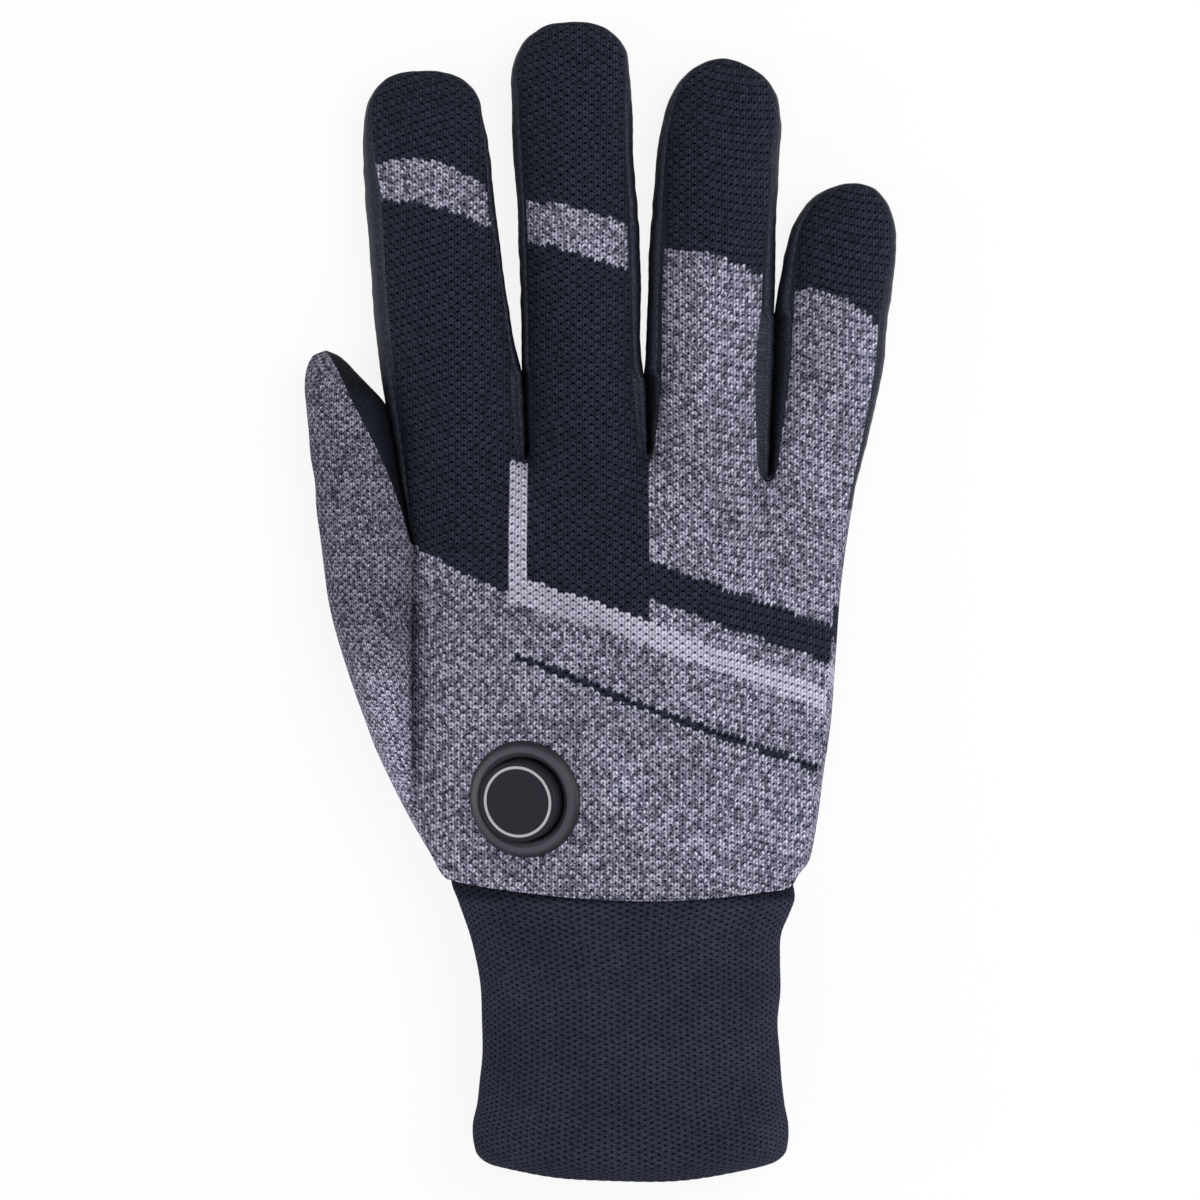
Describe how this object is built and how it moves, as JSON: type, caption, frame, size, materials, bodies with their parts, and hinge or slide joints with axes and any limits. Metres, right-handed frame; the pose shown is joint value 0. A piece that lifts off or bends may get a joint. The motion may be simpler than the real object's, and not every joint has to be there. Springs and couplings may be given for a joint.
{
  "type": "touchscreen glove",
  "caption": "Knitted touchscreen glove for the right hand with a leather palm, a rib cuff and a round press-button light on the back.",
  "frame": {"origin": "centre of the bounding box's underside, with the glove lying palm down", "axes": "+Z is the back of the hand, +Y is the way the fingers point, +X is towards the little finger"},
  "size_m": [0.1292, 0.25, 0.0371],
  "materials": {
    "knit_back": "jacquard knit, blue-black and heather grey",
    "leather": "soft black leather with fine creases",
    "thumb_knit": "heather grey knit",
    "fleece": "brushed fleece lining",
    "rib_knit": "dark rib knit",
    "label_cloth": "plain woven tape",
    "grip_rubber": "matt silicone print",
    "touch_pad": "conductive knit pad",
    "holder_rubber": "matt moulded rubber",
    "stiffener": "satin",
    "housing": "satin moulded",
    "cap_face": "satin",
    "light_ring": "frosted white",
    "board": "solder mask",
    "cell_steel": "plain",
    "switch_steel": "plain",
    "led_lens": "clear",
    "seal_rubber": "plain"
  },
  "bodies": {
    "hand": {"back_panel": "knit_back", "palm_panel": "leather", "fourchettes": "leather", "thumb_gusset": "thumb_knit", "thumb_crotch": "leather", "hand_lining": "fleece", "rib_cuff": "rib_knit", "care_label": "label_cloth", "grip_print": "grip_rubber", "holder": "holder_rubber", "backing_ring": "stiffener", "puck_base": "housing", "circuit_board": "board", "coin_cell": "cell_steel", "switch_dome": "switch_steel", "leds": "led_lens", "seal_ring": "seal_rubber"},
    "index_base": {"index_base_back": "knit_back", "index_base_palm": "leather", "index_base_sides": "leather", "index_base_lining": "fleece"},
    "index_tip": {"index_tip_back": "knit_back", "index_tip_palm": "leather", "index_tip_sides": "leather", "index_tip_lining": "fleece", "index_touch_pad": "touch_pad"},
    "middle_base": {"middle_base_back": "knit_back", "middle_base_palm": "leather", "middle_base_sides": "leather", "middle_base_lining": "fleece"},
    "middle_tip": {"middle_tip_back": "knit_back", "middle_tip_palm": "leather", "middle_tip_sides": "leather", "middle_tip_lining": "fleece"},
    "ring_base": {"ring_base_back": "knit_back", "ring_base_palm": "leather", "ring_base_sides": "leather", "ring_base_lining": "fleece"},
    "ring_tip": {"ring_tip_back": "knit_back", "ring_tip_palm": "leather", "ring_tip_sides": "leather", "ring_tip_lining": "fleece"},
    "little_base": {"little_base_back": "knit_back", "little_base_palm": "leather", "little_base_sides": "leather", "little_base_lining": "fleece"},
    "little_tip": {"little_tip_back": "knit_back", "little_tip_palm": "leather", "little_tip_sides": "leather", "little_tip_lining": "fleece"},
    "thumb_tip": {"thumb_tip_back": "thumb_knit", "thumb_tip_palm": "leather", "thumb_tip_lining": "fleece", "thumb_touch_pad": "touch_pad"},
    "button": {"button_cap": "cap_face", "light_ring": "light_ring"}
  },
  "joints": [
    {"name": "index_knuckle", "type": "hinge", "parent": "hand", "child": "index_base", "pos_m": [-0.0314, 0.03993, 0.0108], "axis": [-0.9942, -0.108, 0], "range_deg": [0, 65]},
    {"name": "index_middle_joint", "type": "hinge", "parent": "index_base", "child": "index_tip", "pos_m": [-0.03474, 0.07075, 0.0108], "axis": [-0.9942, -0.108, 0], "range_deg": [0, 70]},
    {"name": "middle_knuckle", "type": "hinge", "parent": "hand", "child": "middle_base", "pos_m": [-0.00312, 0.03999, 0.0108], "axis": [-0.9994, -0.0349, 0], "range_deg": [0, 65]},
    {"name": "middle_middle_joint", "type": "hinge", "parent": "middle_base", "child": "middle_tip", "pos_m": [-0.00439, 0.07647, 0.0108], "axis": [-0.9994, -0.0349, 0], "range_deg": [0, 70]},
    {"name": "ring_knuckle", "type": "hinge", "parent": "hand", "child": "ring_base", "pos_m": [0.02426, 0.03999, 0.0108], "axis": [-0.9989, 0.0471, 0], "range_deg": [0, 65]},
    {"name": "ring_middle_joint", "type": "hinge", "parent": "ring_base", "child": "ring_tip", "pos_m": [0.0258, 0.07245, 0.0108], "axis": [-0.9989, 0.0471, 0], "range_deg": [0, 70]},
    {"name": "little_knuckle", "type": "hinge", "parent": "hand", "child": "little_base", "pos_m": [0.04904, 0.03692, 0.0101], "axis": [-0.9938, 0.1115, 0], "range_deg": [0, 65]},
    {"name": "little_middle_joint", "type": "hinge", "parent": "little_base", "child": "little_tip", "pos_m": [0.05138, 0.05779, 0.0101], "axis": [-0.9938, 0.1115, 0], "range_deg": [0, 70]},
    {"name": "thumb_joint", "type": "hinge", "parent": "hand", "child": "thumb_tip", "pos_m": [-0.0531, 0.021, 0.00975], "axis": [-0.9926, -0.1213, 0], "range_deg": [0, 50]},
    {"name": "button_press", "type": "slide", "parent": "hand", "child": "button", "axis": [0.3401, 0.1045, -0.9345], "range_m": [0, 0.0005], "stiffness_N_per_m": 1500, "springref_m": -0.0002}
  ]
}
